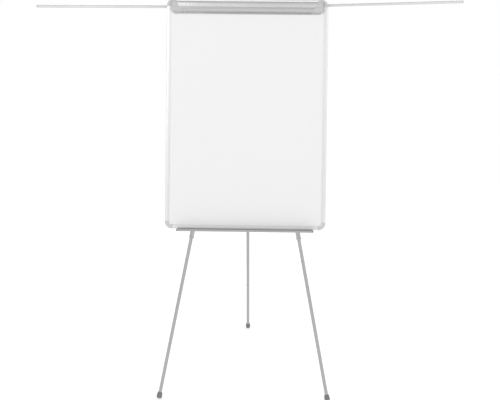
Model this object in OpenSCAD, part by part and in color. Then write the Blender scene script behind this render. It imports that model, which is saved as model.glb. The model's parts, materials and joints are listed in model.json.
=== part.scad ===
// Folding tripod flipchart easel: a framed magnetic board on three telescopic legs, with a
// sprung pad clamp, two sliding pad hooks, two pull-out display arms and a pen tray.
// +Z is up, +X is to the right of someone who faces the board, and the board faces -Y.
// The origin is on the floor, below the board's middle, halfway from the front feet to the rear foot.

/* [Board] */
// Width of the framed board
board_w = 700; // [650:10:750]
// Height of the framed board, along its slope
board_h = 1000; // [900:10:1050]
// Height of the board's lower edge above the floor
board_bottom_z = 748; // [700:1:850]
// How far the board leans back, in degrees
lean = 10; // [6:0.5:14]
// Width of the frame's front face
rail_w = 18; // [16:1:24]
// Depth of the frame, front to back
frame_depth = 14; // [14:0.5:20]
// Outer radius of the frame's corners
corner_r = 32; // [24:1:33]

/* [Pad clamp] */
// Length of the clamp with its end caps
clamp_w = 652; // [600:1:655]
// Distance of each pad hook from the board's middle
hook_x = 165; // [110:1:190]

/* [Pen tray] */
// Length of the tray with its end pieces
tray_w = 592; // [400:1:630]
// How far the tray stands forward of the frame
tray_reach = 36; // [30:1:60]
// Height of the tray's front lip
tray_lip = 9; // [9:0.5:14]

/* [Legs] */
// Distance of each front leg's pivot from the board's middle
pivot_x = 54; // [48:1:60]
// Splay of each front leg, in degrees
splay = 10.8; // [8:0.1:13]
// Angle between the rear leg and the board, in degrees
rear_angle = 31.6; // [26:0.1:36]
// Length from a leg's pivot to the lower end of its upper tube
upper_reach = 975; // [900:1:1000]
// Radius of the upper tubes
upper_r = 10; // [10:0.25:11]
// Radius of the lower tubes
lower_r = 7.5; // [7:0.25:7.75]
// Length of the lower tubes
lower_len = 900; // [850:1:920]

/* [Display arms] */
// Radius of the arms
arm_r = 6; // [5:0.25:6.5]
// Length of an arm
arm_len = 650; // [600:1:650]
// How far the left arm stands out past the frame
left_arm_out = 574; // [400:1:600]
// How far the right arm stands out past the frame
right_arm_out = 590; // [400:1:600]
// Distance of the left arm below the board's top edge, where it passes the frame
left_arm_drop = 32; // [20:1:38]
// Distance of the right arm below the board's top edge, where it passes the frame
right_arm_drop = 18; // [16:1:34]
// Rise of the left arm towards its tip, in degrees
left_arm_rise = -0.3; // [-0.5:0.1:1.4]
// Rise of the right arm towards its tip, in degrees
right_arm_rise = 2; // [0:0.1:2.2]

/* [Hidden] */
$fn = 48;
eps = 0.01;
cut = 1;                        // how far a cutter runs past what it cuts
fit = 0.05;                     // radial clearance of a running fit
gap = 0.3;                      // clearance between bodies that pass each other

// The board's layers, as depths behind its front face
lip_t = 2;                      // thickness of the frame's front lip
sheet_t = 0.4;
core_t = 9.4;
back_t = 0.4;
sheet_y = lip_t;
core_y = sheet_y + sheet_t;
back_y = core_y + core_t;
panel_back_y = back_y + back_t;
panel_inset = 4;                // from the frame's outer edge to the panel's edge
web_t = 2.5;                    // the rail's outer wall
rail_round = 3;
cap_len = 34;                   // length of a corner cap along each side
cap_proud = 0.4;
cap_inner_r = 6;
cap_screw = 16;                 // corner screw, from both edges
small_r = 1.75;                 // shank radius of the small screws
small_head_r = 3.3;
small_head_t = 1.8;
screw_tip_y = 5;                // depth at which the screws from behind end
base_screw_tip_y = 8.6;         // depth at which the screws from in front end
screw_past = 1;                 // how far a tray screw comes out inside the rail

// The clamp, as depths and heights behind and above the board's lower front edge
axis_y = -8;
axis_z = board_h - 17;
skin_t = 2;
brow_r = 13;                    // the round at the clamp's top
brow_y = -7.5;
brow_z = axis_z - 5.5;
ledge_z = board_h - 38.5;       // the step between the clamp's two bands
ledge_in = 1.5;
chin_r = 18;                    // the round under the step
chin_y = -1;
chin_z = ledge_z - 4;
lip_z = board_h - 66;
front_y = brow_y - brow_r;
pin_r = 2;
knuckle_r = 4;
lug_w = 20;
ear_w = 12;
knuckle_xs = [-200, 0, 200];
base_half = 315;
base_top = board_h - 10;        // top of the base, which laps the top rail
ear_leaf = 3;                   // half the height of the ear behind its knuckle
lug_h = 4;
base_screw_xs = [-285, -90, 90, 285];
base_screw_z = board_h - 23.2;
clamp_half = clamp_w / 2;
end_wall = 3;
cap_edge = [19, 30, 52];        // the end cap's length at the top, at the step and at the lip
cap_round = 12;
track_z = board_h - 35;         // the hooks' height
track_h = 16;
track_front = -4;
slot_h = 9;
mouth_h = 5;
slot_front = -2.4;
peg_r = 4;
peg_tip = -14;
button_round = 3;
button_w = 24;                  // the slider in front of the track, under each peg
button_h = 13;
button_t = 2;
strip_end = 2;                  // from the grip strip's end to the end cap
strip_up = 0.5;                 // from the lip's edge to the grip strip
strip_h = 6;
spring_r = 3.1;
spring_wire = 1;
spring_turns = 11;
spring_pitch = 0.95;            // under one wire, so that the coil is one solid
spring_tail_turn = 4.5;
spring_tail_drop = 2;
spring_tail_len = 2.5;
spring_tail_angle = 66;
pin_tail = spring_turns * spring_wire + cut;

// The tray
tray_t = 1.5;
tray_back_y = 1;
flange_y = 13;
tray_end = 3;
tray_end_round = 2;
tray_screw_xs = [-240, 0, 240];
tray_screw_y = 8;

// The tripod head
pivot_z = board_h - 85;         // height of the front pivots up the board
leg_y = 40;                     // depth of the front legs' plane
rear_pivot_y = 70;
rear_pivot_z = pivot_z - 10;
bolt_r = 4;
bolt_head_r = 7.5;
bolt_head_t = 4;
nut_t = 6;
pivot_blind = 6;                // how deep in the head's front plate a front pivot ends
eye_r = 14;
eye_t = 15;
neck_w = 18;
tube_start = 32;                // from a pivot to the top of the upper tube
shoulder_t = 4;
shoulder_proud = 0.5;
shank_len = 40;
head_w = 150;
head_low = pivot_z - 20;
head_high = pivot_z + 25;
head_back_y = leg_y + eye_t / 2 + gap;
head_plate_t = 6;
head_round = 8;
web_half = 30;
stop_x = 67.7;
stop_h = 7;
stop_up = 8;
ear_half = eye_t / 2 + gap;
ear_t = 6.5;
ear_drop = 10;
mount_plate_t = 2.5;
mount_plate_w = 196;
mount_screw_xs = [-88, 88];
mount_screw_edge = 6;           // from the plate's edge to its screws, and its corners' radius
mount_screw_zs = [head_low + mount_screw_edge, head_high - mount_screw_edge];
mount_screw_r = 2.5;
mount_head_r = 4.5;
mount_head_t = 2.6;
mount_y = panel_back_y;
head_y = mount_y + mount_plate_t;

// The legs
tube_wall = 1;
ring_r = 11.3;
ring_t = 6;
bush_len = 24;
plug_len = 30;
plug_web = 2;                   // the rib left between the plug's two cut-outs
plug_cut_y = 5.5;
plug_cut_up = 24;               // from the plug's lower end to the cut-outs' upper end
plug_cut_len = 15;
stem_len = 20;
foot_r = 12;
foot_neck_r = 9.2;
foot_edge_r = 4;
foot_h = 26;
foot_barrel = 14.3;             // height of the foot's straight part and round edge
foot_floor = 6;                 // rubber below the end of the tube
foot_ring = foot_r - foot_edge_r;
pad_w = 44;                     // the rest pads
pad_h = 12;
pad_round = 4;

// The arms
guide_len = 40;
guide_end = 2;                  // the guides stop this far inside the frame's edge
guide_screw_drop = 20;          // the guide's screws, below the arm
left_arm_y = 23;
right_arm_y = 38;
arm_wall = 1;
tip_len = 6;
tip_plug_len = 12;
tip_dome = 2;
stop_r = 7.2;
stop_len = 5;
stop_plug_len = 15;
guide_foot = [303, 331];        // the guide's foot, from the board's middle
guide_foot_t = 3;
guide_screw_xs = [309, 325];
guide_margin = 4;               // guide material around the arm
guide_root = 5.5;               // how far the guide's root reaches below its block
guide_low = 26;                 // how far the foot reaches below the arm
guide_cut = 8;                  // how far the bore's cutter runs past the guide
foot_top = board_h - rail_w - cap_inner_r;

// Angles and lengths that follow
front_tilt = acos(cos(splay) * cos(lean));
rear_tilt = rear_angle - lean;
function board_to_z(y, z) = board_bottom_z - y * sin(lean) + z * cos(lean);
function board_to_y(y, z) = y * cos(lean) + z * sin(lean);
// Length from a pivot to the middle of the foot's round edge, so that the edge meets the floor
function leg_len(z, tilt) = (z - foot_ring * sin(tilt) - foot_edge_r) / cos(tilt);
front_len = leg_len(board_to_z(leg_y, pivot_z), front_tilt);
rear_len = leg_len(board_to_z(rear_pivot_y, rear_pivot_z), rear_tilt);
front_foot_y = board_to_y(leg_y, pivot_z) - front_len * cos(splay) * sin(lean);
rear_foot_y = board_to_y(rear_pivot_y, rear_pivot_z) + rear_len * sin(rear_tilt);
board_y = -(front_foot_y + rear_foot_y) / 2;

// ---- Frames of reference ----

// x across the board, y behind its front face, z up its slope
module on_board() {
    translate([0, board_y, board_bottom_z]) rotate([-lean, 0, 0]) children();
}

// z down the leg from its pivot; side is -1, 1, or 0 for the rear leg
module on_leg(side) {
    on_board() {
        if (side == 0) {
            translate([0, rear_pivot_y, rear_pivot_z]) rotate([rear_angle, 0, 0])
                rotate([180, 0, 90]) children();
        } else {
            translate([side * pivot_x, leg_y, pivot_z]) rotate([0, -side * splay, 0])
                rotate([180, 0, 0]) children();
        }
    }
}

function arm_out(side) = side < 0 ? left_arm_out : right_arm_out;
function arm_y(side) = side < 0 ? left_arm_y : right_arm_y;
function arm_z(side) = board_h - (side < 0 ? left_arm_drop : right_arm_drop);

// z out along the arm from the frame's edge
module on_arm(side) {
    rise = side < 0 ? left_arm_rise : right_arm_rise;
    on_board() translate([side * board_w / 2, arm_y(side), arm_z(side)])
        rotate([0, side * (90 - rise), 0]) children();
}

// ---- Shared shapes ----

module rounded_square(size, r) {
    translate([r, 0]) square([size[0] - 2 * r, size[1]]);
    translate([0, r]) square([size[0], size[1] - 2 * r]);
    for (x = [r, size[0] - r], y = [r, size[1] - r]) translate([x, y]) circle(r);
}

// A 2-D outline in (y, z), extruded from x0 to x1
module along_x(x0, x1) {
    translate([x0, 0, 0]) rotate([90, 0, 90]) linear_extrude(x1 - x0) children();
}

// A 2-D outline in (x, z), extruded from y0 to y1
module along_y(y0, y1) {
    translate([0, y1, 0]) rotate([90, 0, 0]) linear_extrude(y1 - y0) children();
}

module rod_x(r, x0, x1, y, z) {
    translate([x0, y, z]) rotate([0, 90, 0]) cylinder(r = r, h = x1 - x0);
}

module rod_y(r, y0, y1, x, z) {
    translate([x, y1, z]) rotate([90, 0, 0]) cylinder(r = r, h = y1 - y0);
}

module tube(r_out, r_in, z0, z1) {
    translate([0, 0, z0]) difference() {
        cylinder(r = r_out, h = z1 - z0);
        translate([0, 0, -cut]) cylinder(r = r_in, h = z1 - z0 + 2 * cut);
    }
}

// A pan-head screw that points along +y from its head's underside at y = 0
module pan_screw(r, len, head_r, head_t) {
    rod_y(r, 0, len, 0, 0);
    difference() {
        rod_y(head_r, -head_t, 0, 0, 0);
        for (turn = [0, 90]) rotate([0, turn, 0])
            translate([-head_r / 2, -head_t - cut, -head_r / 8])
                cube([head_r, cut + head_t / 2, head_r / 4]);
    }
}

// ---- Board ----

module panel(y0, y1) {
    along_y(y0, y1) translate([panel_inset - board_w / 2, panel_inset])
        rounded_square([board_w - 2 * panel_inset, board_h - 2 * panel_inset], corner_r - panel_inset);
}

module base_screw_holes(r) {
    for (x = base_screw_xs) rod_y(r, sheet_y - cut, base_screw_tip_y, x, base_screw_z);
}

module corner_screw_holes(r) {
    for (x = [-1, 1], z = [cap_screw, board_h - cap_screw])
        rod_y(r, screw_tip_y, frame_depth + 2 * cut, x * (board_w / 2 - cap_screw), z);
}

module mount_screw_holes(r) {
    for (x = mount_screw_xs, z = mount_screw_zs) rod_y(r, screw_tip_y, head_y + cut, x, z);
}

module guide_screw_holes(r, y1) {
    for (side = [-1, 1], x = guide_screw_xs)
        rod_y(r, screw_tip_y, y1, side * x, arm_z(side) - guide_screw_drop);
}

module writing_surface() {
    color("white") on_board() difference() {
        panel(sheet_y, core_y);
        base_screw_holes(small_r);
    }
}

module board_core() {
    color("burlywood") on_board() difference() {
        panel(core_y, back_y);
        base_screw_holes(small_r);
        corner_screw_holes(small_r);
        mount_screw_holes(mount_screw_r);
        guide_screw_holes(small_r, panel_back_y + cut);
    }
}

module backing_sheet() {
    color("silver") on_board() difference() {
        panel(back_y, panel_back_y);
        corner_screw_holes(small_r);
        mount_screw_holes(mount_screw_r);
        guide_screw_holes(small_r, panel_back_y + cut);
    }
}

// The rail's section: its outer wall at x = 0, and its lips over the panel's edge
module rail_section() {
    difference() {
        union() {
            rounded_square([rail_w / 2, frame_depth], rail_round);
            translate([rail_round, 0]) square([rail_w - rail_round, frame_depth]);
        }
        translate([web_t, sheet_y]) square([rail_w, panel_back_y - sheet_y]);
    }
}

module level_rail(flip) {
    translate([0, 0, flip ? board_h : 0]) mirror([0, 0, flip ? 1 : 0])
        along_x(cap_len - board_w / 2, board_w / 2 - cap_len) mirror([1, -1]) rail_section();
}

module upright_rail(side) {
    translate([side * board_w / 2, 0, cap_len]) mirror([side > 0 ? 1 : 0, 0, 0])
        linear_extrude(board_h - 2 * cap_len) rail_section();
}

module frame_rail_top() { color("gainsboro") on_board() level_rail(true); }

module frame_rail_bottom() {
    color("gainsboro") on_board() difference() {
        level_rail(false);
        for (x = tray_screw_xs) translate([x, tray_screw_y, -cut])
            cylinder(r = small_r, h = web_t + 2 * cut);
    }
}

module frame_rail_left() { color("gainsboro") on_board() upright_rail(-1); }

module frame_rail_right() { color("gainsboro") on_board() upright_rail(1); }

// A moulded corner: round outside, with a small round inside, and a slot for the panel
module corner_cap(side, top) {
    on_board() translate([side * board_w / 2, 0, top ? board_h : 0])
        mirror([side > 0 ? 1 : 0, 0, 0]) mirror([0, 0, top ? 1 : 0]) difference() {
            along_y(-cap_proud, frame_depth + cap_proud) difference() {
                intersection() {
                    square(cap_len);
                    union() {
                        translate([corner_r, corner_r]) circle(corner_r, $fn = 96);
                        translate([corner_r, 0]) square(cap_len);
                        translate([0, corner_r]) square(cap_len);
                    }
                }
                difference() {
                    translate([rail_w, rail_w]) square(cap_len);
                    difference() {
                        translate([rail_w, rail_w]) square(cap_inner_r);
                        translate([rail_w + cap_inner_r, rail_w + cap_inner_r]) circle(cap_inner_r);
                    }
                }
            }
            along_y(sheet_y, panel_back_y) union() {
                translate([corner_r, corner_r]) circle(corner_r - panel_inset);
                translate([corner_r, panel_inset]) square(cap_len);
                translate([panel_inset, corner_r]) square(cap_len);
            }
            rod_y(small_r, panel_back_y - cut, frame_depth + 2 * cut, cap_screw, cap_screw);
        }
}

module corner_cap_top_left() { color("silver") corner_cap(-1, true); }

module corner_cap_top_right() { color("silver") corner_cap(1, true); }

module corner_cap_bottom_left() { color("silver") corner_cap(-1, false); }

module corner_cap_bottom_right() { color("silver") corner_cap(1, false); }

module corner_screws() {
    head_y0 = frame_depth + cap_proud;
    color("gray") on_board() for (x = [-1, 1], z = [cap_screw, board_h - cap_screw])
        translate([x * (board_w / 2 - cap_screw), head_y0, z]) mirror([0, 1, 0])
            pan_screw(small_r, head_y0 - screw_tip_y, small_head_r, small_head_t);
}

// ---- Pad clamp ----

module track_section(slot, mouth, front) {
    translate([slot_front, track_z - slot / 2]) square([-slot_front, slot]);
    translate([front, track_z - mouth / 2]) square([slot_front - front + eps, mouth]);
}

module clamp_base() {
    color("silver") on_board() difference() {
        union() {
            along_x(-base_half, base_half) difference() {
                union() {
                    translate([-skin_t, track_z]) square([skin_t, base_top - track_z]);
                    translate([0, track_z - track_h / 2])
                        square([sheet_y, board_h - rail_w - gap - track_z + track_h / 2]);
                    translate([track_front, track_z - track_h / 2]) square([-track_front + eps, track_h]);
                }
                track_section(slot_h, mouth_h, track_front - cut);
            }
            for (x = knuckle_xs, side = [-1, 1]) {
                x0 = x + side * (lug_w / 2 + gap + ear_w / 2) - ear_w / 2;
                rod_x(knuckle_r, x0, x0 + ear_w, axis_y, axis_z);
                translate([x0, axis_y, axis_z - ear_leaf]) cube([ear_w, -axis_y - eps, 2 * ear_leaf]);
            }
        }
        for (x = knuckle_xs) rod_x(pin_r, x - lug_w - ear_w, x + lug_w + ear_w, axis_y, axis_z);
        for (x = base_screw_xs) rod_y(small_r + fit, -skin_t - cut, sheet_y + cut, x, base_screw_z);
    }
}

module clamp_base_screws() {
    color("gray") on_board() for (x = base_screw_xs) translate([x, -skin_t, base_screw_z])
        pan_screw(small_r, base_screw_tip_y + skin_t, small_head_r, small_head_t);
}

module clamp_hinge_pins() {
    half = lug_w / 2 + gap + ear_w;
    color("dimgray") on_board() for (x = knuckle_xs)
        rod_x(pin_r, x - half, x + half + pin_tail, axis_y, axis_z);
}

// Close-wound coils on the pins' free ends, each with a tail down to the base
module clamp_springs() {
    start = lug_w / 2 + gap + ear_w + eps;
    color("darkgray") on_board() for (x = knuckle_xs) translate([x + start, axis_y, axis_z]) {
        rotate([0, 90, 0]) rotate_extrude() for (i = [0 : spring_turns - 1])
            translate([spring_r, (i + 0.5) * spring_pitch]) circle(spring_wire / 2, $fn = 16);
        translate([spring_tail_turn * spring_pitch, spring_r, -spring_tail_drop])
            rotate([-spring_tail_angle, 0, 0])
                cylinder(r = spring_wire / 2, h = spring_tail_len, $fn = 16);
    }
}

// A slider that runs in the track, and the peg on its front
module pad_hook(side) {
    x = side * hook_x;
    on_board() {
        along_x(x - button_w / 2, x + button_w / 2) {
            translate([slot_front + fit, track_z - slot_h / 2 + gap])
                square([-slot_front - 2 * fit, slot_h - 2 * gap]);
            translate([track_front - gap, track_z - mouth_h / 2 + gap])
                square([slot_front - track_front + gap + 2 * fit, mouth_h - 2 * gap]);
        }
        along_y(track_front - gap - button_t, track_front - gap)
            translate([x - button_w / 2, track_z - button_h / 2])
                rounded_square([button_w, button_h], button_round);
        rod_y(peg_r, peg_tip, track_front - gap - button_t + eps, x, track_z);
    }
}

module pad_hook_left() { color("dimgray") pad_hook(-1); }

module pad_hook_right() { color("dimgray") pad_hook(1); }

// The clamp's section: a round brow, a step, a round chin and an upright lip
module clamp_section() {
    translate([brow_y, brow_z]) intersection() {
        difference() { circle(brow_r, $fn = 96); circle(brow_r - skin_t, $fn = 96); }
        translate([-brow_r, 0]) square(brow_r);
    }
    translate([front_y, ledge_z]) square([skin_t, brow_z - ledge_z]);
    translate([front_y, ledge_z]) square([skin_t + ledge_in, skin_t]);
    translate([front_y + ledge_in, chin_z]) square([skin_t, ledge_z - chin_z + skin_t]);
    translate([chin_y, chin_z]) intersection() {
        difference() { circle(chin_r, $fn = 96); circle(chin_r - skin_t, $fn = 96); }
        translate([-chin_r, -chin_r]) square(chin_r);
    }
    translate([chin_y, lip_z]) square([skin_t, chin_z - chin_r + skin_t - lip_z]);
}

// The same outline filled to the line from its top to its lip
module clamp_filled() {
    clamp_section();
    translate([brow_y, brow_z]) intersection() {
        circle(brow_r, $fn = 96);
        translate([-brow_r, 0]) square(brow_r);
    }
    translate([front_y + ledge_in, chin_z]) square([brow_y - front_y - ledge_in, brow_z - chin_z]);
    translate([front_y, ledge_z]) square([brow_y - front_y, brow_z - ledge_z]);
    translate([chin_y, chin_z]) intersection() {
        circle(chin_r, $fn = 96);
        translate([-chin_r, -chin_r]) square(chin_r);
    }
    polygon([[brow_y, chin_z], [brow_y, brow_z + brow_r - skin_t],
        [chin_y + skin_t, chin_z - chin_r + skin_t], [chin_y, chin_z - chin_r], [chin_y - eps, chin_z]]);
}

// What lies within the end cap, seen from the front, on the +x side
module cap_zone(grow) {
    top = brow_z + brow_r;
    translate([clamp_half, 0]) polygon([[grow, top + grow], [-cap_edge[0], top + grow],
        [-cap_edge[0], top], [-cap_edge[1], ledge_z], [-cap_edge[2], lip_z],
        [-cap_edge[2], lip_z - grow], [grow, lip_z - grow]]);
}

module cap_outline() {
    intersection() {
        cap_zone(0);
        translate([0, lip_z]) union() {
            square([clamp_half - cap_round, board_h]);
            translate([0, cap_round]) square([clamp_half, board_h]);
            translate([clamp_half - cap_round, cap_round]) circle(cap_round);
        }
    }
}

module clamp_bar() {
    color("lightgray") on_board() difference() {
        union() {
            difference() {
                along_x(-clamp_half, clamp_half) clamp_section();
                for (m = [0, 1]) mirror([m, 0, 0])
                    along_y(front_y - cut, lip_t + cut) cap_zone(cut);
            }
            for (x = knuckle_xs) {
                rod_x(knuckle_r, x - lug_w / 2, x + lug_w / 2, axis_y, axis_z);
                translate([x - lug_w / 2, front_y + skin_t - eps, axis_z - lug_h])
                    cube([lug_w, axis_y - front_y - skin_t, lug_h]);
            }
        }
        for (x = knuckle_xs) rod_x(pin_r + fit, x - lug_w, x + lug_w, axis_y, axis_z);
    }
}

module clamp_end_cap(side) {
    on_board() mirror([side < 0 ? 1 : 0, 0, 0]) intersection() {
        union() {
            along_x(clamp_half - cap_edge[2], clamp_half) clamp_section();
            along_x(clamp_half - end_wall, clamp_half) clamp_filled();
        }
        along_y(front_y - cut, lip_t + cut) cap_outline();
    }
}

module clamp_end_cap_left() { color("darkgray") clamp_end_cap(-1); }

module clamp_end_cap_right() { color("darkgray") clamp_end_cap(1); }

module clamp_grip_strip() {
    half = clamp_half - cap_edge[2] - strip_end;
    strip_t = sheet_y - chin_y - skin_t - gap;
    color("dimgray") on_board() along_x(-half, half)
        translate([chin_y + skin_t, lip_z + strip_up]) square([strip_t, strip_h]);
}

// ---- Pen tray ----

module tray_section() {
    translate([-tray_reach, -tray_lip]) square([tray_reach + tray_back_y + tray_t, tray_t]);
    translate([-tray_reach, -tray_lip]) square([tray_t, tray_lip]);
    translate([tray_back_y, -tray_lip]) square([tray_t, tray_lip]);
    translate([tray_back_y, -tray_t]) square([flange_y - tray_back_y, tray_t]);
}

module pen_tray() {
    half = tray_w / 2 - tray_end;
    color("gray") on_board() difference() {
        along_x(-half, half) tray_section();
        for (x = tray_screw_xs) translate([x, tray_screw_y, -tray_t - cut])
            cylinder(r = small_r + fit, h = tray_t + 2 * cut);
    }
}

module tray_end_piece(side) {
    x0 = side < 0 ? -tray_w / 2 : tray_w / 2 - tray_end;
    on_board() along_x(x0, x0 + tray_end) translate([-tray_reach, -tray_lip])
        rounded_square([tray_reach + tray_back_y + tray_t, tray_lip - gap], tray_end_round);
}

module tray_end_left() { color("dimgray") tray_end_piece(-1); }

module tray_end_right() { color("dimgray") tray_end_piece(1); }

module tray_screws() {
    color("gray") on_board() for (x = tray_screw_xs) translate([x, tray_screw_y, -tray_t])
        rotate([90, 0, 0]) pan_screw(small_r, tray_t + web_t + screw_past, small_head_r, small_head_t);
}

// ---- Tripod head ----

module head_mount_plate() {
    color("silver") on_board() difference() {
        along_y(mount_y, head_y) translate([-mount_plate_w / 2, head_low])
            rounded_square([mount_plate_w, head_high - head_low], mount_screw_edge);
        mount_screw_holes(mount_screw_r + fit);
    }
}

module tripod_head() {
    color("dimgray") on_board() difference() {
        union() {
            along_y(head_y, leg_y - eye_t / 2 - gap) translate([-head_w / 2, head_low])
                rounded_square([head_w, head_high - head_low], head_round);
            along_y(head_back_y, head_back_y + head_plate_t) translate([-head_w / 2, head_low])
                rounded_square([head_w, head_high - head_low], head_round);
            along_y(head_y, head_back_y + cut) translate([-web_half, head_low])
                square([2 * web_half, head_high - head_low]);
            for (side = [-1, 1])
                translate([side < 0 ? -head_w / 2 : stop_x, head_y + cut, head_low + stop_up])
                    cube([head_w / 2 - stop_x, head_back_y - head_y, stop_h]);
            for (side = [-1, 1]) rear_ear(side);
        }
        for (side = [-1, 1]) rod_y(bolt_r + fit, head_y + pivot_blind,
            head_back_y + head_plate_t + cut, side * pivot_x, pivot_z);
        rod_x(bolt_r + fit, -head_w, head_w, rear_pivot_y, rear_pivot_z);
    }
}

module rear_ear(side) {
    x0 = side < 0 ? -ear_half - ear_t : ear_half;
    along_x(x0, x0 + ear_t) {
        translate([rear_pivot_y, rear_pivot_z]) circle(eye_r);
        translate([head_back_y, rear_pivot_z - ear_drop])
            square([rear_pivot_y - head_back_y, eye_r + ear_drop]);
    }
}

module head_screws() {
    color("gray") on_board() for (x = mount_screw_xs, z = mount_screw_zs) translate([x, head_y, z])
        mirror([0, 1, 0]) pan_screw(mount_screw_r, head_y - screw_tip_y, mount_head_r, mount_head_t);
}

module front_leg_pivots() {
    back = head_back_y + head_plate_t;
    color("dimgray") on_board() for (side = [-1, 1]) translate([side * pivot_x, back, pivot_z])
        mirror([0, 1, 0]) pan_screw(bolt_r, back - head_y - pivot_blind, bolt_head_r, bolt_head_t);
}

module rear_leg_pivot() {
    half = ear_half + ear_t;
    color("dimgray") on_board() translate([0, rear_pivot_y, rear_pivot_z]) {
        rod_x(bolt_r, -half, half, 0, 0);
        rod_x(bolt_head_r, -half - bolt_head_t, -half, 0, 0);
        translate([half, 0, 0]) rotate([0, 90, 0]) cylinder(r = bolt_head_r, h = nut_t, $fn = 6);
    }
}

// ---- Legs ----

module leg_knuckle(side) {
    on_leg(side) difference() {
        union() {
            rod_y(eye_r, -eye_t / 2, eye_t / 2, 0, 0);
            translate([-neck_w / 2, -eye_t / 2, 0]) cube([neck_w, eye_t, tube_start - shoulder_t / 2]);
            translate([0, 0, tube_start - shoulder_t])
                cylinder(r = upper_r + shoulder_proud, h = shoulder_t);
            cylinder(r = upper_r - tube_wall, h = tube_start + shank_len);
        }
        rod_y(bolt_r + fit, -eye_t, eye_t, 0, 0);
        for (y = [-1, 1]) translate([-eye_r, y > 0 ? eye_t / 2 : -eye_t / 2 - eye_r, -eye_r])
            cube([2 * eye_r, eye_r, eye_r + tube_start - shoulder_t]);
    }
}

module leg_knuckle_left() { color("dimgray") leg_knuckle(-1); }

module leg_knuckle_right() { color("dimgray") leg_knuckle(1); }

module leg_knuckle_rear() { color("dimgray") leg_knuckle(0); }

module upper_leg(side) {
    on_leg(side) tube(upper_r, upper_r - tube_wall, tube_start, upper_reach - ring_t);
}

module upper_leg_left() { color("silver") upper_leg(-1); }

module upper_leg_right() { color("silver") upper_leg(1); }

module upper_leg_rear() { color("silver") upper_leg(0); }

// A bush in the upper tube's end, with a ring that shows below it
module leg_bush(side) {
    ring_top = upper_reach - ring_t;
    on_leg(side) {
        tube(upper_r - tube_wall, lower_r + fit, ring_top - bush_len, ring_top + eps);
        tube(ring_r, lower_r + fit, ring_top, upper_reach);
    }
}

module leg_bush_left() { color("gray") leg_bush(-1); }

module leg_bush_right() { color("gray") leg_bush(1); }

module leg_bush_rear() { color("gray") leg_bush(0); }

function leg_end(side) = (side == 0 ? rear_len : front_len) + foot_edge_r - foot_floor;
function lower_top(side) = leg_end(side) - lower_len;

// The lock's plug runs in the upper tube, and the lower tube turns on its stem
module lock_plug(side) {
    on_leg(side) difference() {
        union() {
            translate([0, 0, lower_top(side) - plug_len - gap])
                cylinder(r = upper_r - tube_wall - fit, h = plug_len);
            translate([0, 0, lower_top(side) - gap - eps])
                cylinder(r = lower_r - tube_wall - fit, h = stem_len + gap);
        }
        for (x = [plug_web / 2, -upper_r])
            translate([x, plug_cut_y, lower_top(side) - gap - plug_cut_up])
                cube([upper_r - plug_web / 2, upper_r, plug_cut_len]);
    }
}

module lock_plug_left() { color("gray") lock_plug(-1); }

module lock_plug_right() { color("gray") lock_plug(1); }

module lock_plug_rear() { color("gray") lock_plug(0); }

module lower_leg(side) {
    on_leg(side) tube(lower_r, lower_r - tube_wall, lower_top(side), leg_end(side));
}

module lower_leg_left() { color("lightgray") lower_leg(-1); }

module lower_leg_right() { color("lightgray") lower_leg(1); }

module lower_leg_rear() { color("lightgray") lower_leg(0); }

// A rubber foot: a neck that widens to a barrel, with a round lower edge and a flat underside
module foot(side) {
    bottom = leg_end(side) + foot_floor;
    on_leg(side) difference() {
        union() {
            translate([0, 0, bottom - foot_h])
                cylinder(r1 = foot_neck_r, r2 = foot_r, h = foot_h - foot_barrel + eps);
            translate([0, 0, bottom - foot_barrel]) cylinder(r = foot_r, h = foot_barrel - foot_edge_r);
            translate([0, 0, bottom - foot_edge_r]) rotate_extrude()
                translate([foot_ring, 0]) circle(foot_edge_r);
            translate([0, 0, bottom - foot_barrel]) cylinder(r = foot_ring, h = foot_barrel);
        }
        translate([0, 0, bottom - foot_h - cut])
            cylinder(r = lower_r + fit, h = foot_h - foot_floor + cut);
    }
}

module foot_left() { color("dimgray") foot(-1); }

module foot_right() { color("dimgray") foot(1); }

module foot_rear() { color("dimgray") foot(0); }

// Pads on the bottom rail's back, which the front legs lie against when they are splayed
module leg_rest_pads() {
    pad_z = (rail_w - pad_h) / 2;
    mid = pivot_x + (pivot_z - rail_w / 2) * tan(splay);
    color("dimgray") on_board() for (side = [-1, 1])
        along_y(frame_depth, leg_y - upper_r - gap)
            translate([side * mid - pad_w / 2, pad_z]) rounded_square([pad_w, pad_h], pad_round);
}

// ---- Display arms ----

module display_arm(side) {
    on_arm(side) tube(arm_r, arm_r - arm_wall, arm_out(side) - arm_len, arm_out(side) - tip_len);
}

module display_arm_left() { color("lightgray") display_arm(-1); }

module display_arm_right() { color("lightgray") display_arm(1); }

// A plug in the arm's outer end, flush with it, with a domed face
module arm_tip(side) {
    on_arm(side) translate([0, 0, arm_out(side)]) {
        translate([0, 0, -tip_len]) cylinder(r = arm_r, h = tip_len - tip_dome);
        translate([0, 0, -tip_len - tip_plug_len])
            cylinder(r = arm_r - arm_wall, h = tip_plug_len + eps);
        translate([0, 0, -tip_dome]) rotate_extrude() intersection() {
            union() {
                translate([arm_r - tip_dome, 0]) circle(tip_dome);
                square([arm_r - tip_dome, tip_dome]);
            }
            square([arm_r, tip_dome]);
        }
    }
}

module arm_tip_left() { color("white") arm_tip(-1); }

module arm_tip_right() { color("white") arm_tip(1); }

// A collar on the arm's inner end, too wide for the guide
module arm_stop(side) {
    inner = arm_out(side) - arm_len;
    on_arm(side) {
        translate([0, 0, inner - stop_len]) cylinder(r = stop_r, h = stop_len);
        translate([0, 0, inner - eps]) cylinder(r = arm_r - arm_wall, h = stop_plug_len);
    }
}

module arm_stop_left() { color("dimgray") arm_stop(-1); }

module arm_stop_right() { color("dimgray") arm_stop(1); }

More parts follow.
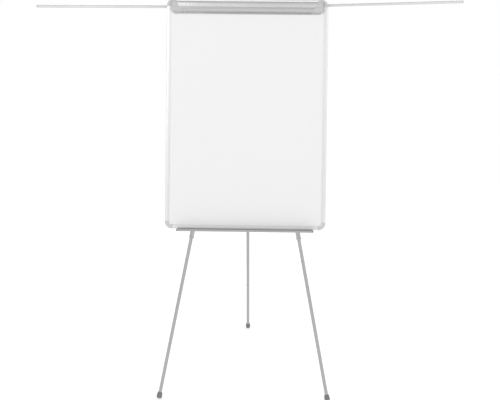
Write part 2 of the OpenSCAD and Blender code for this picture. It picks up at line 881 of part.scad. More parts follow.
// A block that the arm runs through, behind the frame's rail, with a root and a foot on the backing
module arm_guide(side) {
    half = arm_r + guide_margin;
    inner = board_w / 2 - guide_end - guide_len;
    back = arm_y(side) + half;
    front = max(frame_depth + 2 * cap_proud, arm_y(side) - half);
    root_z = arm_z(side) - half - guide_root;
    foot_z = arm_z(side) - guide_low;
    difference() {
        on_board() mirror([side < 0 ? 1 : 0, 0, 0]) {
            along_y(front, back) translate([inner, arm_z(side) - half])
                rounded_square([guide_len, 2 * half], guide_margin);
            along_y(panel_back_y, back) translate([inner, root_z])
                rounded_square([guide_foot[1] - inner, foot_top - root_z], guide_margin);
            along_y(panel_back_y, panel_back_y + guide_foot_t) translate([guide_foot[0], foot_z])
                rounded_square([guide_foot[1] - guide_foot[0], foot_top - foot_z], guide_margin);
        }
        on_arm(side) translate([0, 0, -guide_len - guide_cut])
            cylinder(r = arm_r + fit, h = guide_len + 2 * guide_cut);
        on_board() guide_screw_holes(small_r + fit, panel_back_y + guide_foot_t + cut);
    }
}

module arm_guide_left() { color("dimgray") arm_guide(-1); }

module arm_guide_right() { color("dimgray") arm_guide(1); }

module arm_guide_screws() {
    head_under = panel_back_y + guide_foot_t;
    color("gray") on_board() for (side = [-1, 1], x = guide_screw_xs)
        translate([side * x, head_under, arm_z(side) - guide_screw_drop]) mirror([0, 1, 0])
            pan_screw(small_r, head_under - screw_tip_y, small_head_r, small_head_t);
}

writing_surface();
board_core();
backing_sheet();
frame_rail_top();
frame_rail_bottom();
frame_rail_left();
frame_rail_right();
corner_cap_top_left();
corner_cap_top_right();
corner_cap_bottom_left();
corner_cap_bottom_right();
corner_screws();
clamp_base();
clamp_base_screws();
clamp_hinge_pins();
clamp_springs();
pad_hook_left();
pad_hook_right();
clamp_bar();
clamp_end_cap_left();
clamp_end_cap_right();
clamp_grip_strip();
pen_tray();
tray_end_left();
tray_end_right();
tray_screws();
head_mount_plate();
tripod_head();
head_screws();
front_leg_pivots();
rear_leg_pivot();
leg_knuckle_left();
leg_knuckle_right();
leg_knuckle_rear();
upper_leg_left();
upper_leg_right();
upper_leg_rear();
leg_bush_left();
leg_bush_right();
leg_bush_rear();
lock_plug_left();
lock_plug_right();
lock_plug_rear();
lower_leg_left();
lower_leg_right();
lower_leg_rear();
foot_left();
foot_right();
foot_rear();
leg_rest_pads();
display_arm_left();
display_arm_right();
arm_tip_left();
arm_tip_right();
arm_stop_left();
arm_stop_right();
arm_guide_left();
arm_guide_right();
arm_guide_screws();
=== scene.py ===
"""The looks of a folding tripod flipchart easel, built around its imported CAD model."""
import json
from math import cos, pi, radians, sin, sqrt, tan

import bmesh
import bpy
from mathutils import Matrix, Vector


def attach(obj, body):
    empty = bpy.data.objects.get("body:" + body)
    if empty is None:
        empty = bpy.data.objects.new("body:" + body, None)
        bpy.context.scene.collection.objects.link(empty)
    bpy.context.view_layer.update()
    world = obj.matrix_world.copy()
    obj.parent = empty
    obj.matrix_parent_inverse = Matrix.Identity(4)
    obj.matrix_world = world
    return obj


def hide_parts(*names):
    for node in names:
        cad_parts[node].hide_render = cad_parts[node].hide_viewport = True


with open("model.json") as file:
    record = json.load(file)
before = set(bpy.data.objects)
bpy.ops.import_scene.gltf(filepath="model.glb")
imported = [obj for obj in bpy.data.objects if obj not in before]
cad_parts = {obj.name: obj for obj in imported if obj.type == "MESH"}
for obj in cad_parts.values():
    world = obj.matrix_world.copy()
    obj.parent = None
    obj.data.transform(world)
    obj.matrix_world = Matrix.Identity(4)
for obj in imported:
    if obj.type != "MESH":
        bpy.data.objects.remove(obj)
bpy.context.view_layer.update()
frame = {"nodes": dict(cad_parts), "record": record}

MM = 0.001
SIDES = ("left", "right")
LEGS = ("left", "right", "rear")

# ---- Frames of reference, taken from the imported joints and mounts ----

record = frame["record"]
joints = {j["name"]: j for j in record["behaviour"]["joints"]}
mounts = {m["name"]: m for m in record["mounts"]}


def axes_at(origin, x, y):
    """A frame at origin, whose x and y axes are given and whose z axis follows."""
    x, y = Vector(x).normalized(), Vector(y).normalized()
    z = x.cross(y).normalized()
    turned = Matrix((x, z.cross(x), z)).transposed().to_4x4()
    return Matrix.Translation(origin) @ turned


def along(origin, direction):
    """A frame at origin whose z axis is the given direction."""
    z = Vector(direction).normalized()
    y = Vector((0, 1, 0)) - z * z.y
    return axes_at(origin, y.cross(z), y)


# The board's frame has x across, y behind its front face and z up its slope. This is where the
# clamp's hinge is in it, in millimetres
HINGE_Y, HINGE_Z = -8, 983
normal = Vector(joints["leg_splay_right"]["axis"])
slope = Vector((1, 0, 0)).cross(normal)
hinge = Vector(joints["clamp_hinge"]["pos_m"])
board = axes_at(hinge - normal * HINGE_Y * MM - slope * HINGE_Z * MM, (1, 0, 0), normal)

leg_joint = {"left": "leg_splay_left", "right": "leg_splay_right", "rear": "leg_fold_rear"}
leg_frame = {n: along(joints[leg_joint[n]]["pos_m"], joints[f"leg_slide_{n}"]["axis"]) for n in LEGS}
arm_mount = {n: mounts[f"display_arm_{n}"] for n in SIDES}
arm_frame = {n: along(arm_mount[n]["pos_m"], arm_mount[n]["axis"]) for n in SIDES}


def extent(node, matrix):
    """Lowest and highest corner of a CAD node in a frame, in millimetres."""
    inverse = matrix.inverted()
    points = [inverse @ v.co / MM for v in frame["nodes"][node].data.vertices]
    return (
        Vector(min(p[i] for p in points) for i in range(3)),
        Vector(max(p[i] for p in points) for i in range(3)),
    )


# The height of the clamp bar's step, where its upper band ends
STEP_DOWN = 29
clamp_low, clamp_high = extent("clamp_bar", board)
ledge_z = clamp_high.z - STEP_DOWN

# ---- Materials ----


def node(tree, kind, inputs=None, **settings):
    """A shader node, with its inputs set to values or linked to other nodes' outputs."""
    made = tree.nodes.new(kind)
    for key, value in settings.items():
        setattr(made, key, value)
    for key, value in (inputs or {}).items():
        if isinstance(value, bpy.types.NodeSocket):
            tree.links.new(value, made.inputs[key])
        else:
            made.inputs[key].default_value = value
    return made


def ramp(tree, factor, low, high, start=0.0, end=1.0):
    """factor between start and end becomes low to high."""
    mapped = node(
        tree, "ShaderNodeMapRange",
        {"Value": factor, "From Min": start, "From Max": end, "To Min": low, "To Max": high},
    )
    return mapped.outputs["Result"]


def noise_of(tree, place, scale, stretch=(1, 1, 1), detail=3.0):
    """Noise whose features are about 1/scale metres across, drawn out by stretch."""
    sized = node(tree, "ShaderNodeMapping", {"Vector": place, "Scale": tuple(1 / s for s in stretch)})
    made = node(
        tree, "ShaderNodeTexNoise",
        {"Vector": sized.outputs["Vector"], "Scale": scale, "Detail": detail, "Roughness": 0.55},
    )
    return made.outputs["Fac"]


def mixed(tree, factor, a, b):
    """Colour a where factor is 0, and b where it is 1."""
    made = node(tree, "ShaderNodeMix", data_type="RGBA")
    for key, value in ((0, factor), (6, a), (7, b)):
        if isinstance(value, bpy.types.NodeSocket):
            tree.links.new(value, made.inputs[key])
        else:
            made.inputs[key].default_value = value if key == 0 else (*value, 1)
    return made.outputs[2]


def sum_of(tree, a, b):
    return node(tree, "ShaderNodeMath", {0: a, 1: b}, operation="ADD").outputs[0]


def times(tree, a, b):
    return node(tree, "ShaderNodeMath", {0: a, 1: b}, operation="MULTIPLY").outputs[0]


def scaled(colour, by):
    """A colour made lighter or darker."""
    return tuple(min(1.0, c * by) for c in colour)


EDGE_WEAR = 0.5                  # how far wear reaches from an edge, in millimetres
EDGE_TURN = (0.8, 0.97)          # cosines of a turn that counts as an edge, and of a flat face
SHADE_REACH, SHADE_TONE = 6, 0.35   # how near a hollow's walls are, in millimetres, and the tone of the painted shade there
SHADE_OPEN = (0.35, 0.95)         # how open a deep hollow and a free face are
MARKS, MARKS_STRETCH = 14, (1, 1, 2.5)   # how much finer scuffs are than the broad marks
WORN_MARKS = (0.45, 0.62)        # the marks' values over which wear sets in
SCUFF_MARKS = (0.45, 0.75)       # and scuffs
BAND_BLUR = 0.3                  # half the height over which the lower band's painted shade sets in
MID_NOISE = (0.3, 0.7)           # the values that most of a noise lies between


def edge_mask(tree, radius):
    """1 where the surface turns within radius, in millimetres, and 0 where it is flat."""
    turned = node(tree, "ShaderNodeBevel", {"Radius": radius * MM}, samples=4)
    flat = node(tree, "ShaderNodeNewGeometry")
    agree = node(
        tree, "ShaderNodeVectorMath", {0: turned.outputs["Normal"], 1: flat.outputs["Normal"]},
        operation="DOT_PRODUCT",
    )
    return ramp(tree, agree.outputs["Value"], 1, 0, *EDGE_TURN)


def finish_of(
    name, colour, rough, metallic=0.0, grain=900.0, stretch=(1, 1, 1), depth=0.02, spread=0.05,
    rough_spread=0.08, blotch=9.0, wear=None, wear_share=0.5, hollow_shade=0.25, shader=None, lower=None,
):
    """A finish with fine grain, broad handling marks, worn edges and painted shade in its hollows.

    grain and blotch are noise scales per metre, and depth is the grain's height in millimetres.
    wear is the colour of worn edges and wear_share its share there. The argument after wear_share is
    the share of painted shade, from ambient occlusion, in a deep hollow. lower is a height in the
    piece's own frame and the colour below it, which is painted shade.
    """
    material = bpy.data.materials.new(name)
    material.use_nodes = True
    tree = material.node_tree
    main = tree.nodes["Principled BSDF"]
    place = node(tree, "ShaderNodeTexCoord").outputs["Object"]
    fine = noise_of(tree, place, grain, stretch)
    broad = noise_of(tree, place, blotch, detail=5.0)
    marks = noise_of(tree, place, blotch * MARKS, MARKS_STRETCH, detail=2.0)

    darker = scaled(colour, 1 - spread)
    tint = mixed(tree, fine, darker, scaled(colour, 1 + spread))
    shade = mixed(tree, ramp(tree, broad, 0, 1, *MID_NOISE), darker, scaled(colour, 1 + spread / 2))
    base = mixed(tree, 0.5, tint, shade)
    # A darker colour below a height: painted shade for a band that faces down
    if lower:
        level, painted_shade_colour = lower
        height = node(tree, "ShaderNodeSeparateXYZ", {0: place}).outputs["Z"]
        below = ramp(tree, height, 1, 0, (level - BAND_BLUR) * MM, (level + BAND_BLUR) * MM)
        base = mixed(tree, below, base, painted_shade_colour)

    if wear:
        edge = edge_mask(tree, EDGE_WEAR)
        patchy = ramp(tree, marks, 0, wear_share, *WORN_MARKS)
        base = mixed(tree, times(tree, edge, patchy), base, wear)
    # Painted shade: ambient occlusion darkens the colour in hollows, creases and between parts
    if hollow_shade:
        occlusion = node(
            tree, "ShaderNodeAmbientOcclusion", {"Distance": SHADE_REACH * MM}, samples=4, only_local=True,
        )
        shaded = ramp(tree, occlusion.outputs["AO"], hollow_shade, 0.0, *SHADE_OPEN)
        base = mixed(tree, shaded, base, scaled(colour, SHADE_TONE))
    tree.links.new(base, main.inputs["Base Color"])

    rubbed = ramp(tree, broad, rough - rough_spread, rough + rough_spread, *MID_NOISE)
    scuffed = ramp(tree, marks, -rough_spread / 2, rough_spread, *SCUFF_MARKS)
    tree.links.new(sum_of(tree, rubbed, scuffed), main.inputs["Roughness"])
    bump = node(tree, "ShaderNodeBump", {"Height": fine, "Strength": 1.0, "Distance": depth * MM})
    tree.links.new(bump.outputs["Normal"], main.inputs["Normal"])
    main.inputs["Metallic"].default_value = metallic
    for key, value in (shader or {}).items():
        main.inputs[key].default_value = value
    return material


ACROSS, UPRIGHT, DOWN_TUBE = (60, 1, 1), (1, 1, 60), (1, 1, 90)
BARE = (0.80, 0.80, 0.79)
FRAME = dict(
    colour=(0.70, 0.70, 0.695), rough=0.40, metallic=0.5, grain=1800, depth=0.006, spread=0.03, wear=BARE,
)

finish = {
    "enamel_white": finish_of(
        "enamel_white", (0.765, 0.765, 0.76), 0.14, grain=260, depth=0.004, spread=0.006,
        rough_spread=0.04, blotch=3.0, hollow_shade=0, shader={"Coat Weight": 0.3, "Coat Roughness": 0.06},
    ),
    "fibreboard": finish_of(
        "fibreboard", (0.42, 0.29, 0.17), 0.85, grain=700, stretch=(4, 1, 1), depth=0.1, spread=0.2,
    ),
    "backing_metal": finish_of(
        "backing_metal", (0.56, 0.57, 0.58), 0.42, metallic=0.9, grain=1400, stretch=UPRIGHT,
        depth=0.006, spread=0.05, blotch=5.0, wear=BARE, hollow_shade=0.2,
    ),
    "frame_metal": finish_of("frame_metal", stretch=ACROSS, **FRAME),
    "frame_metal_upright": finish_of("frame_metal_upright", stretch=UPRIGHT, **FRAME),
    "clamp_metal": finish_of(
        "clamp_metal", (0.66, 0.66, 0.658), 0.22, metallic=0.95, grain=2000, stretch=ACROSS,
        depth=0.003, spread=0.02, rough_spread=0.02, blotch=4.0, wear=BARE, wear_share=0.3,
        # The darker colour below the step is painted shade: the lower band faces down, away from the
        # light
        lower=(ledge_z, (0.49, 0.49, 0.488)),
    ),
    "corner_plastic": finish_of(
        "corner_plastic", (0.53, 0.53, 0.525), 0.48, grain=1500, depth=0.02, spread=0.03,
        wear=(0.68, 0.68, 0.67),
    ),
    "clamp_plastic": finish_of(
        "clamp_plastic", (0.47, 0.47, 0.465), 0.5, grain=1300, depth=0.025, spread=0.04,
        wear=(0.6, 0.6, 0.59),
    ),
    "dark_plastic": finish_of(
        "dark_plastic", (0.035, 0.035, 0.037), 0.5, grain=1300, depth=0.03, spread=0.12,
        wear=(0.12, 0.12, 0.12), hollow_shade=0.3,
    ),
    "leg_chrome": finish_of(
        "leg_chrome", (0.40, 0.405, 0.41), 0.11, metallic=1.0, grain=2500, stretch=DOWN_TUBE,
        depth=0.003, spread=0.02, rough_spread=0.03, blotch=14, hollow_shade=0.1,
    ),
    "leg_paint": finish_of(
        "leg_paint", (0.39, 0.395, 0.385), 0.34, metallic=0.35, grain=2200, depth=0.006,
        spread=0.05, blotch=12, wear=BARE, hollow_shade=0.1,
    ),
    "arm_paint": finish_of(
        "arm_paint", (0.60, 0.605, 0.595), 0.36, metallic=0.25, grain=2200, depth=0.006,
        spread=0.04, blotch=12, wear=BARE, hollow_shade=0.1,
    ),
    "tray_paint": finish_of(
        "tray_paint", (0.36, 0.36, 0.355), 0.42, metallic=0.2, grain=1600, depth=0.008,
        spread=0.03, wear=(0.55, 0.55, 0.54),
    ),
    "fastener_steel": finish_of(
        "fastener_steel", (0.58, 0.585, 0.58), 0.28, metallic=1.0, grain=1500, depth=0.01,
        spread=0.04, blotch=25, wear=BARE, wear_share=0.25,
    ),
    "foot_rubber": finish_of(
        "foot_rubber", (0.19, 0.19, 0.188), 0.72, grain=1100, depth=0.04, spread=0.12, blotch=40,
        wear=(0.26, 0.26, 0.25), hollow_shade=0.3,
    ),
    "pad_rubber": finish_of(
        "pad_rubber", (0.045, 0.045, 0.045), 0.75, grain=1100, depth=0.04, spread=0.12, blotch=40,
        wear=(0.14, 0.14, 0.14),
    ),
}

# ---- Shapes ----


def fillet(corners, closed=True, steps=4):
    """An outline whose corners, given as (u, v, radius), are rounded."""
    outline = []
    last = len(corners) - 1
    for i, (u, v, radius) in enumerate(corners):
        here = Vector((u, v))
        if not radius or (not closed and i in (0, last)):
            outline.append(here)
            continue
        back = (Vector(corners[i - 1][:2]) - here).normalized()
        ahead = (Vector(corners[(i + 1) % len(corners)][:2]) - here).normalized()
        half = back.angle(ahead) / 2
        centre = here + (back + ahead).normalized() * radius / sin(half)
        first = here + back * radius / tan(half) - centre
        turn = first.angle_signed(here + ahead * radius / tan(half) - centre)
        for step in range(steps + 1):
            outline.append(centre + Matrix.Rotation(-turn * step / steps, 2) @ first)
    return outline


def arc(centre, radius, start, end, steps):
    """Points on an arc, with angles in degrees from the first axis."""
    angles = [radians(start + (end - start) * i / steps) for i in range(steps + 1)]
    return [Vector((centre[0] + radius * cos(a), centre[1] + radius * sin(a))) for a in angles]


def bridge(bm, a, b, closed=True):
    """Faces between two rings or rows of vertices. A ring of one vertex makes a fan."""
    count = max(len(a), len(b))
    for i in range(count if closed else count - 1):
        j = (i + 1) % count
        corners = [a[i % len(a)], a[j % len(a)], b[j % len(b)], b[i % len(b)]]
        bm.faces.new(list(dict.fromkeys(corners)))


def lathe(bm, profile, segments=64, closed=False):
    """Turns (radius, z) points in millimetres about z."""
    rings = []
    for r, z in profile:
        count = segments if r > 0 else 1
        turns = [2 * pi * i / count for i in range(count)]
        rings.append([bm.verts.new((r * MM * cos(t), r * MM * sin(t), z * MM)) for t in turns])
    for a, b in zip(rings, rings[1:]):
        bridge(bm, a, b)
    if closed:
        bridge(bm, rings[-1], rings[0])


def prism(bm, outline, start, end, place):
    """Extrudes an outline from start to end. place turns (u, v, w) into x, y, z in millimetres."""
    rings = [[bm.verts.new(Vector(place(p[0], p[1], w)) * MM) for p in outline] for w in (start, end)]
    bridge(bm, *rings)
    for ring in rings:
        bm.faces.new(ring)


def piece(name, body, slot, bm, matrix, replaces=(), material=None, sharp=35, in_row=False):
    """Makes a piece from bm, whose vertices are in matrix's frame in metres.

    in_row puts its vertices in the row frame, where its bounding box is a tight one.
    """
    if in_row:
        bm.transform(matrix)
        matrix = Matrix()
    bmesh.ops.recalc_face_normals(bm, faces=bm.faces)
    mesh = bpy.data.meshes.new(name)
    bm.to_mesh(mesh)
    bm.free()
    mesh.polygons.foreach_set("use_smooth", [True] * len(mesh.polygons))
    mesh.set_sharp_from_angle(angle=radians(sharp))
    mesh.materials.append(finish[material or slot])
    made = bpy.data.objects.new(name, mesh)
    bpy.context.scene.collection.objects.link(made)
    made.matrix_world = matrix
    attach(made, body)
    if replaces:
        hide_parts(*replaces)
    return made


def soften(obj, width, segments=2, angle=32):
    """Rounds an object's sharp edges with a bevel, in millimetres."""
    bevel = obj.modifiers.new("rounded_edges", "BEVEL")
    bevel.width = width * MM
    bevel.segments = segments
    bevel.limit_method = "ANGLE"
    bevel.angle_limit = radians(angle)
    bevel.harden_normals = True
    bevel.use_clamp_overlap = True


def soften_cad(node_name, width):
    """Rounds a CAD node's edges. Its triangles are first joined into flat faces."""
    obj = frame["nodes"][node_name]
    weld = obj.modifiers.new("joined_points", "WELD")
    weld.merge_threshold = 0.01 * MM
    flat = obj.modifiers.new("flat_faces", "DECIMATE")
    flat.decimate_type = "DISSOLVE"
    flat.angle_limit = radians(0.5)
    soften(obj, width)


# ---- Frame ----

LIP, PANEL_BACK, WALL = 2.0, 12.2, 2.5     # the rail's lip, the panel's back and the rail's wall
GROOVE_IN, GROOVE_W, GROOVE_D = 2.2, 2.4, 0.5
GROOVE_SLANT, RAIL_ROUND = 0.5, 3


def rail_outline(width, depth):
    """The rail's section: u inwards from its outer wall, v behind its front face."""
    groove_end = width - GROOVE_IN
    groove_start = groove_end - GROOVE_W
    return fillet([
        (0, 0, RAIL_ROUND), (groove_start, 0, 0.3), (groove_start + GROOVE_SLANT, GROOVE_D, 0.25),
        (groove_end - GROOVE_SLANT, GROOVE_D, 0.25), (groove_end, 0, 0.3), (width, 0, 0.8),
        (width, LIP, 0.2), (WALL, LIP, 0.4), (WALL, PANEL_BACK, 0.4), (width, PANEL_BACK, 0.2),
        (width, depth, 0.8), (0, depth, RAIL_ROUND),
    ])


def frame_rails():
    """Four channels that hold the panel's edges."""
    for name in ("top", "bottom", "left", "right"):
        low, high = extent(f"frame_rail_{name}", board)
        level = name in ("top", "bottom")
        width = high.z - low.z if level else high.x - low.x
        edge = {"top": high.z, "bottom": low.z, "left": low.x, "right": high.x}[name]
        inward = -1 if name in ("top", "right") else 1
        outline = rail_outline(width, high.y)
        bm = bmesh.new()
        if level:
            prism(bm, outline, low.x, high.x, lambda u, v, w: (w, v, edge + inward * u))
        else:
            prism(bm, outline, low.z, high.z, lambda u, v, w: (edge + inward * u, v, w))
        piece(
            f"rail_{name}", "board", "frame_metal", bm, board, [f"frame_rail_{name}"],
            material="frame_metal" if level else "frame_metal_upright",
        )


# ---- Clamp ----

SKIN = 2.0
BROW_R, CHIN_R, CHIN_DOWN = 13.0, 18.0, 4
LEDGE_IN, LEDGE_ROUND = 1.5, 0.6
KNUCKLE_XS = (-200, 0, 200)
LUG_HALF_W, LUG_R, LUG_INTO_SKIN, LUG_TOP = 10, 4, 0.5, 0.5
CAP_EDGE = (19, 30, 52)          # the end cap's length at the clamp's top, step and lip
CAP_ROUND, CAP_EDGE_R, CAP_PROUD = 12.0, 3.0, 0.35

clamp_half = extent("clamp_end_cap_right", board)[1].x
chin_z = ledge_z - CHIN_DOWN


def clamp_outline(inset):
    """The clamp's section from its brow to its lip, in (y, z), drawn inwards by inset."""
    front, lip = clamp_low.y, clamp_low.z
    brow = (front + BROW_R, clamp_high.z - BROW_R)
    chin = (front + LEDGE_IN + CHIN_R, chin_z)
    top = arc(brow, BROW_R - inset, 90, 180, 14)
    ledge = ledge_z + inset
    step = fillet([
        (top[-1].x, top[-1].y, 0), (front + inset, ledge, LEDGE_ROUND),
        (front + LEDGE_IN + inset, ledge, LEDGE_ROUND), (front + LEDGE_IN + inset, chin_z, 0),
    ], closed=False, steps=3)
    bottom = arc(chin, CHIN_R - inset, 180, 270, 16)
    lip_start = Vector((chin[0] + inset, chin_z - CHIN_R + max(inset, 0.0)))
    lip_end = Vector((chin[0] + inset, lip))
    return [*top, *step[1:-1], *bottom[:-1], lip_start, lip_end]


def cap_start(z):
    """Where the end cap begins, as an x on the right side, at height z."""
    if z > ledge_z:
        share = (z - ledge_z) / (clamp_high.z - ledge_z)
        return clamp_half - CAP_EDGE[1] + (CAP_EDGE[1] - CAP_EDGE[0]) * share
    share = (z - clamp_low.z) / (ledge_z - clamp_low.z)
    return clamp_half - CAP_EDGE[2] + (CAP_EDGE[2] - CAP_EDGE[1]) * share


def cap_end(z):
    """Where the end cap ends at height z: its lower corner is round."""
    below = CAP_ROUND - (z - clamp_low.z)
    if below <= 0:
        return clamp_half
    return clamp_half - CAP_ROUND + sqrt(max(0.0, CAP_ROUND ** 2 - below ** 2))


def clamp_row(bm, line, side):
    """The clamp bar's outline at one end, cut to the end cap's slant."""
    return [bm.verts.new(Vector((side * cap_start(p.y), p.x, p.y)) * MM) for p in line]


def clamp_bar():
    """An extrusion with a lug for each hinge pin."""
    bm = bmesh.new()
    outer = [clamp_row(bm, clamp_outline(0), side) for side in (-1, 1)]
    inner = [clamp_row(bm, clamp_outline(SKIN), side) for side in (-1, 1)]
    bridge(bm, *outer, closed=False)
    bridge(bm, *inner, closed=False)
    for outer_row, inner_row in zip(outer, inner):
        bridge(bm, outer_row, inner_row, closed=False)
    for end in (0, -1):
        bm.faces.new([outer[0][end], outer[1][end], inner[1][end], inner[0][end]])

    lug_y = clamp_low.y + SKIN - LUG_INTO_SKIN
    lug = [
        Vector((lug_y, HINGE_Z + LUG_TOP)), Vector((lug_y, HINGE_Z - LUG_R)),
        Vector((HINGE_Y, HINGE_Z - LUG_R)), *arc((HINGE_Y, HINGE_Z), LUG_R, -85, 130, 16),
    ]
    for x in KNUCKLE_XS:
        prism(bm, lug, x - LUG_HALF_W, x + LUG_HALF_W, lambda u, v, w: (w, u, v))
    made = piece("clamp_bar_profile", "clamp", "clamp_metal", bm, board, ["clamp_bar"])
    soften(made, 0.25, angle=50)


def clamp_end_cap(name, side):
    """A moulded cap: the bar's outline a little proud, with a round outer edge and a closed end."""
    bm = bmesh.new()
    shells = []
    for wall in (0.0, SKIN):
        rows = []
        line = clamp_outline(wall - CAP_PROUD)
        for share in (0.0, 0.15, 0.5, 1.0):
            rows.append([
                (cap_start(p.y) + (cap_end(p.y) - CAP_EDGE_R - cap_start(p.y)) * share, p) for p in line
            ])
        for turn in (22.5, 45, 67.5, 90):
            drop = (CAP_EDGE_R - wall) * (1 - cos(radians(turn)))
            reach = wall + (CAP_EDGE_R - wall) * (1 - sin(radians(turn)))
            line = clamp_outline(wall - CAP_PROUD + drop)
            rows.append([(cap_end(p.y) - reach, p) for p in line])
        shells.append([
            [bm.verts.new(Vector((side * x, p.x, p.y)) * MM) for x, p in row] for row in rows
        ])
    for shell in shells:
        for a, b in zip(shell, shell[1:]):
            bridge(bm, a, b, closed=False)
        bm.faces.new(shell[-1])
    outer, inner = shells
    bridge(bm, outer[0], inner[0], closed=False)
    for end in (0, -1):
        bridge(bm, [row[end] for row in outer], [row[end] for row in inner], closed=False)
    bm.faces.new([outer[-1][0], outer[-1][-1], inner[-1][-1], inner[-1][0]])
    piece(f"clamp_cap_{name}", "clamp", "clamp_plastic", bm, board, [f"clamp_end_cap_{name}"])


# ---- Tray ----

TRAY_T, TRAY_BACK_Y = 1.5, 1.0
TRAY_BEND, TRAY_INNER_BEND, TRAY_RIM = 1.8, 0.8, 0.7


def pen_tray():
    """A bent sheet: a front lip, a floor, a back and a flange under the frame."""
    low, high = extent("pen_tray", board)
    outline = fillet([
        (low.y, low.z, TRAY_BEND), (low.y, 0, TRAY_RIM), (low.y + TRAY_T, 0, TRAY_RIM),
        (low.y + TRAY_T, low.z + TRAY_T, TRAY_INNER_BEND),
        (TRAY_BACK_Y, low.z + TRAY_T, TRAY_INNER_BEND), (TRAY_BACK_Y, 0, 0), (high.y, 0, 0.3),
        (high.y, -TRAY_T, 0.6), (TRAY_BACK_Y + TRAY_T, -TRAY_T, 0.6),
        (TRAY_BACK_Y + TRAY_T, low.z, TRAY_BEND),
    ])
    bm = bmesh.new()
    prism(bm, outline, low.x, high.x, lambda u, v, w: (w, u, v))
    piece("tray_channel", "board", "tray_paint", bm, board, ["pen_tray"])


# ---- Legs ----

TUBE_WALL, FIT = 1, 0.05
THIN_SIDES, FOOT_SIDES = 48, 56  # faces round the thinner tubes and round a foot
RING_T, RING_GROOVE = 6.0, 0.35
FOOT_NECK, FOOT_EDGE, FOOT_BARREL, FOOT_FLOOR = 9.2, 4.0, 14.3, 6
RIBS, RIB_START, RIB_PITCH, RIB_HALF, RIB_D = 3, 3.2, 2.6, 0.7, 0.45
SOLE_GROOVES = (6.6, 4.2, 1.8)   # radii of the rings in the sole
SOLE_HALF, SOLE_FLAT, SOLE_D = 0.5, 0.2, 0.5


def tube_profile(outer, start, end, edge=0.35):
    """The section of a tube's wall, with rounded rims."""
    inner = outer - TUBE_WALL
    return fillet([
        (outer, start, edge), (outer, end, edge), (inner, end, edge / 2), (inner, start, edge / 2),
    ], steps=3)


def legs():
    """For each leg, its upper tube, lower tube, bush and foot."""
    for name in LEGS:
        place = leg_frame[name]
        low, high = extent(f"upper_leg_{name}", place)
        tube_r = high.x
        bm = bmesh.new()
        lathe(bm, tube_profile(tube_r, low.z, high.z), closed=True)
        piece(f"upper_tube_{name}", f"leg_{name}", "leg_chrome", bm, place, [f"upper_leg_{name}"])

        low, high = extent(f"lower_leg_{name}", place)
        lower_r = high.x
        bm = bmesh.new()
        lathe(bm, tube_profile(lower_r, low.z, high.z), THIN_SIDES, closed=True)
        piece(f"lower_tube_{name}", f"lower_{name}", "leg_paint", bm, place, [f"lower_leg_{name}"])

        low, high = extent(f"leg_bush_{name}", place)
        leg_bush(name, place, high.x, tube_r - TUBE_WALL, lower_r + FIT, low.z, high.z)
        low, high = extent(f"foot_{name}", place)
        foot(name, place, high.x, lower_r, low.z, high.z)


def leg_bush(name, place, ring_r, shank_r, bore_r, start, end):
    """A bush, with a ring below the tube that has two fine grip grooves."""
    shoulder = end - RING_T
    grooves = []
    for share in (0.4, 0.6):
        z, half = shoulder + RING_T * share, RING_T * 0.04
        grooves += [(ring_r, z - half, 0.1), (ring_r - RING_GROOVE, z, 0.1), (ring_r, z + half, 0.1)]
    profile = fillet([
        (shank_r, start, 0.4), (shank_r, shoulder, 0), (ring_r, shoulder, 0.5), *grooves,
        (ring_r, end, 1.2), (bore_r, end, 0.5), (bore_r, start, 0.2),
    ], steps=3)
    bm = bmesh.new()
    lathe(bm, profile, closed=True)
    piece(f"bush_{name}", f"leg_{name}", "clamp_plastic", bm, place, [f"leg_bush_{name}"])


def foot(name, place, foot_r, bore_r, start, end):
    """A rubber foot: a neck with grooves round it, a barrel and a sole with ring grooves."""
    barrel = end - FOOT_BARREL
    corners = [(bore_r, start, 0.3), (FOOT_NECK, start, 1.0)]
    for i in range(RIBS):
        z = start + RIB_START + RIB_PITCH * i
        radius = FOOT_NECK + (foot_r - FOOT_NECK) * (z - start) / (barrel - start)
        corners += [
            (radius, z - RIB_HALF, 0.15), (radius - RIB_D, z, 0.15), (radius + 0.05, z + RIB_HALF, 0.15),
        ]
    corners += [(foot_r, barrel + 0.6, 1.5), (foot_r, end, FOOT_EDGE)]
    for radius in SOLE_GROOVES:
        corners += [
            (radius + SOLE_HALF, end, 0.1), (radius + SOLE_FLAT, end - SOLE_D, 0.1),
            (radius - SOLE_FLAT, end - SOLE_D, 0.1), (radius - SOLE_HALF, end, 0.1),
        ]
    profile = [*fillet(corners, closed=False, steps=3), Vector((0, end))]
    inside = [Vector((0, end - FOOT_FLOOR)), Vector((bore_r, end - FOOT_FLOOR))]
    bm = bmesh.new()
    lathe(bm, [*inside, *profile], FOOT_SIDES)
    piece(f"rubber_foot_{name}", f"lower_{name}", "foot_rubber", bm, place, [f"foot_{name}"], in_row=True)


# ---- Display arms ----

TIP_ROUND = 2.2


def display_arms():
    """For each arm, its tube and the plug in its end."""
    for name in SIDES:
        place = arm_frame[name]
        low, high = extent(f"display_arm_{name}", place)
        radius = high.x
        bm = bmesh.new()
        lathe(bm, tube_profile(radius, low.z, high.z, 0.25), THIN_SIDES, closed=True)
        piece(f"arm_tube_{name}", f"arm_{name}", "arm_paint", bm, place, [f"display_arm_{name}"])

        start, shank_r = high.z, radius - TUBE_WALL
        low, high = extent(f"arm_tip_{name}", place)
        profile = fillet([
            (0, low.z, 0), (shank_r, low.z, 0.6), (shank_r, start, 0), (radius, start, 0.2),
            (radius, high.z, TIP_ROUND), (0, high.z, 0),
        ], closed=False, steps=6)
        bm = bmesh.new()
        lathe(bm, profile, THIN_SIDES)
        piece(
            f"arm_plug_{name}", f"arm_{name}", "corner_plastic", bm, place, [f"arm_tip_{name}"],
            in_row=True,
        )


# ---- Clamp springs ----

SPRING_R, WIRE_R, WIRE_SIDES = 3.1, 0.46, 10
TURNS, TURN_STEPS = 11, 28
SPRING_START, SPRING_LEN = 22.5, 10.2      # from the knuckle's middle, and along the pin
TAIL, TAIL_STEPS = Vector((0, 1.2, -7.0)), 4


